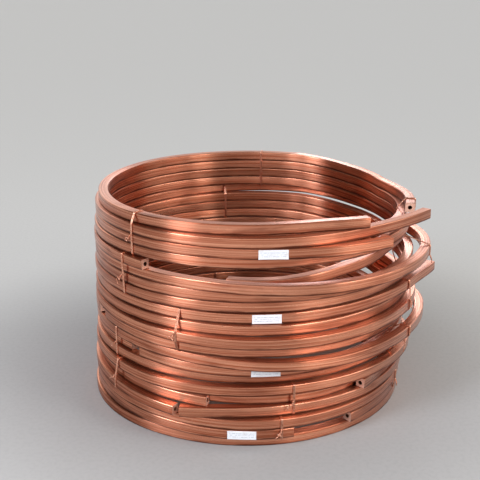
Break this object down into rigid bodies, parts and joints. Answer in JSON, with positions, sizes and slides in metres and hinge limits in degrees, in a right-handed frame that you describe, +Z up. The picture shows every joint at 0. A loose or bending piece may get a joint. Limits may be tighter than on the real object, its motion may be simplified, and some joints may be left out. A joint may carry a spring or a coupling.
{
  "type": "copper tube coil",
  "caption": "Tall stack of loosely wound coils of heavy square copper tube with a round bore, tied in bundles with copper wire and marked with paper labels.",
  "frame": {"origin": "middle of the bounding box's footprint, on the floor", "axes": "+Z up along the coils' axis; -Y is the side the picture shows; +X is to the right as seen from there"},
  "size_m": [1.3598, 1.3157, 0.8062],
  "materials": {
    "copper": null,
    "tie_wire": "soft annealed copper wire",
    "paper": null
  },
  "bodies": {
    "root": {"tube_01": "copper", "tube_02": "copper", "tube_03": "copper", "tube_04": "copper", "tube_05": "copper", "tube_06": "copper", "tube_07": "copper", "tube_08": "copper", "tube_09": "copper", "tube_10": "copper", "tube_11": "copper", "ties_1": "tie_wire", "ties_2": "tie_wire", "ties_3": "tie_wire", "ties_4": "tie_wire", "ties_5": "tie_wire", "ties_6": "tie_wire", "label_1": "paper", "label_2": "paper", "label_3": "paper", "label_4": "paper"}
  },
  "joints": []
}
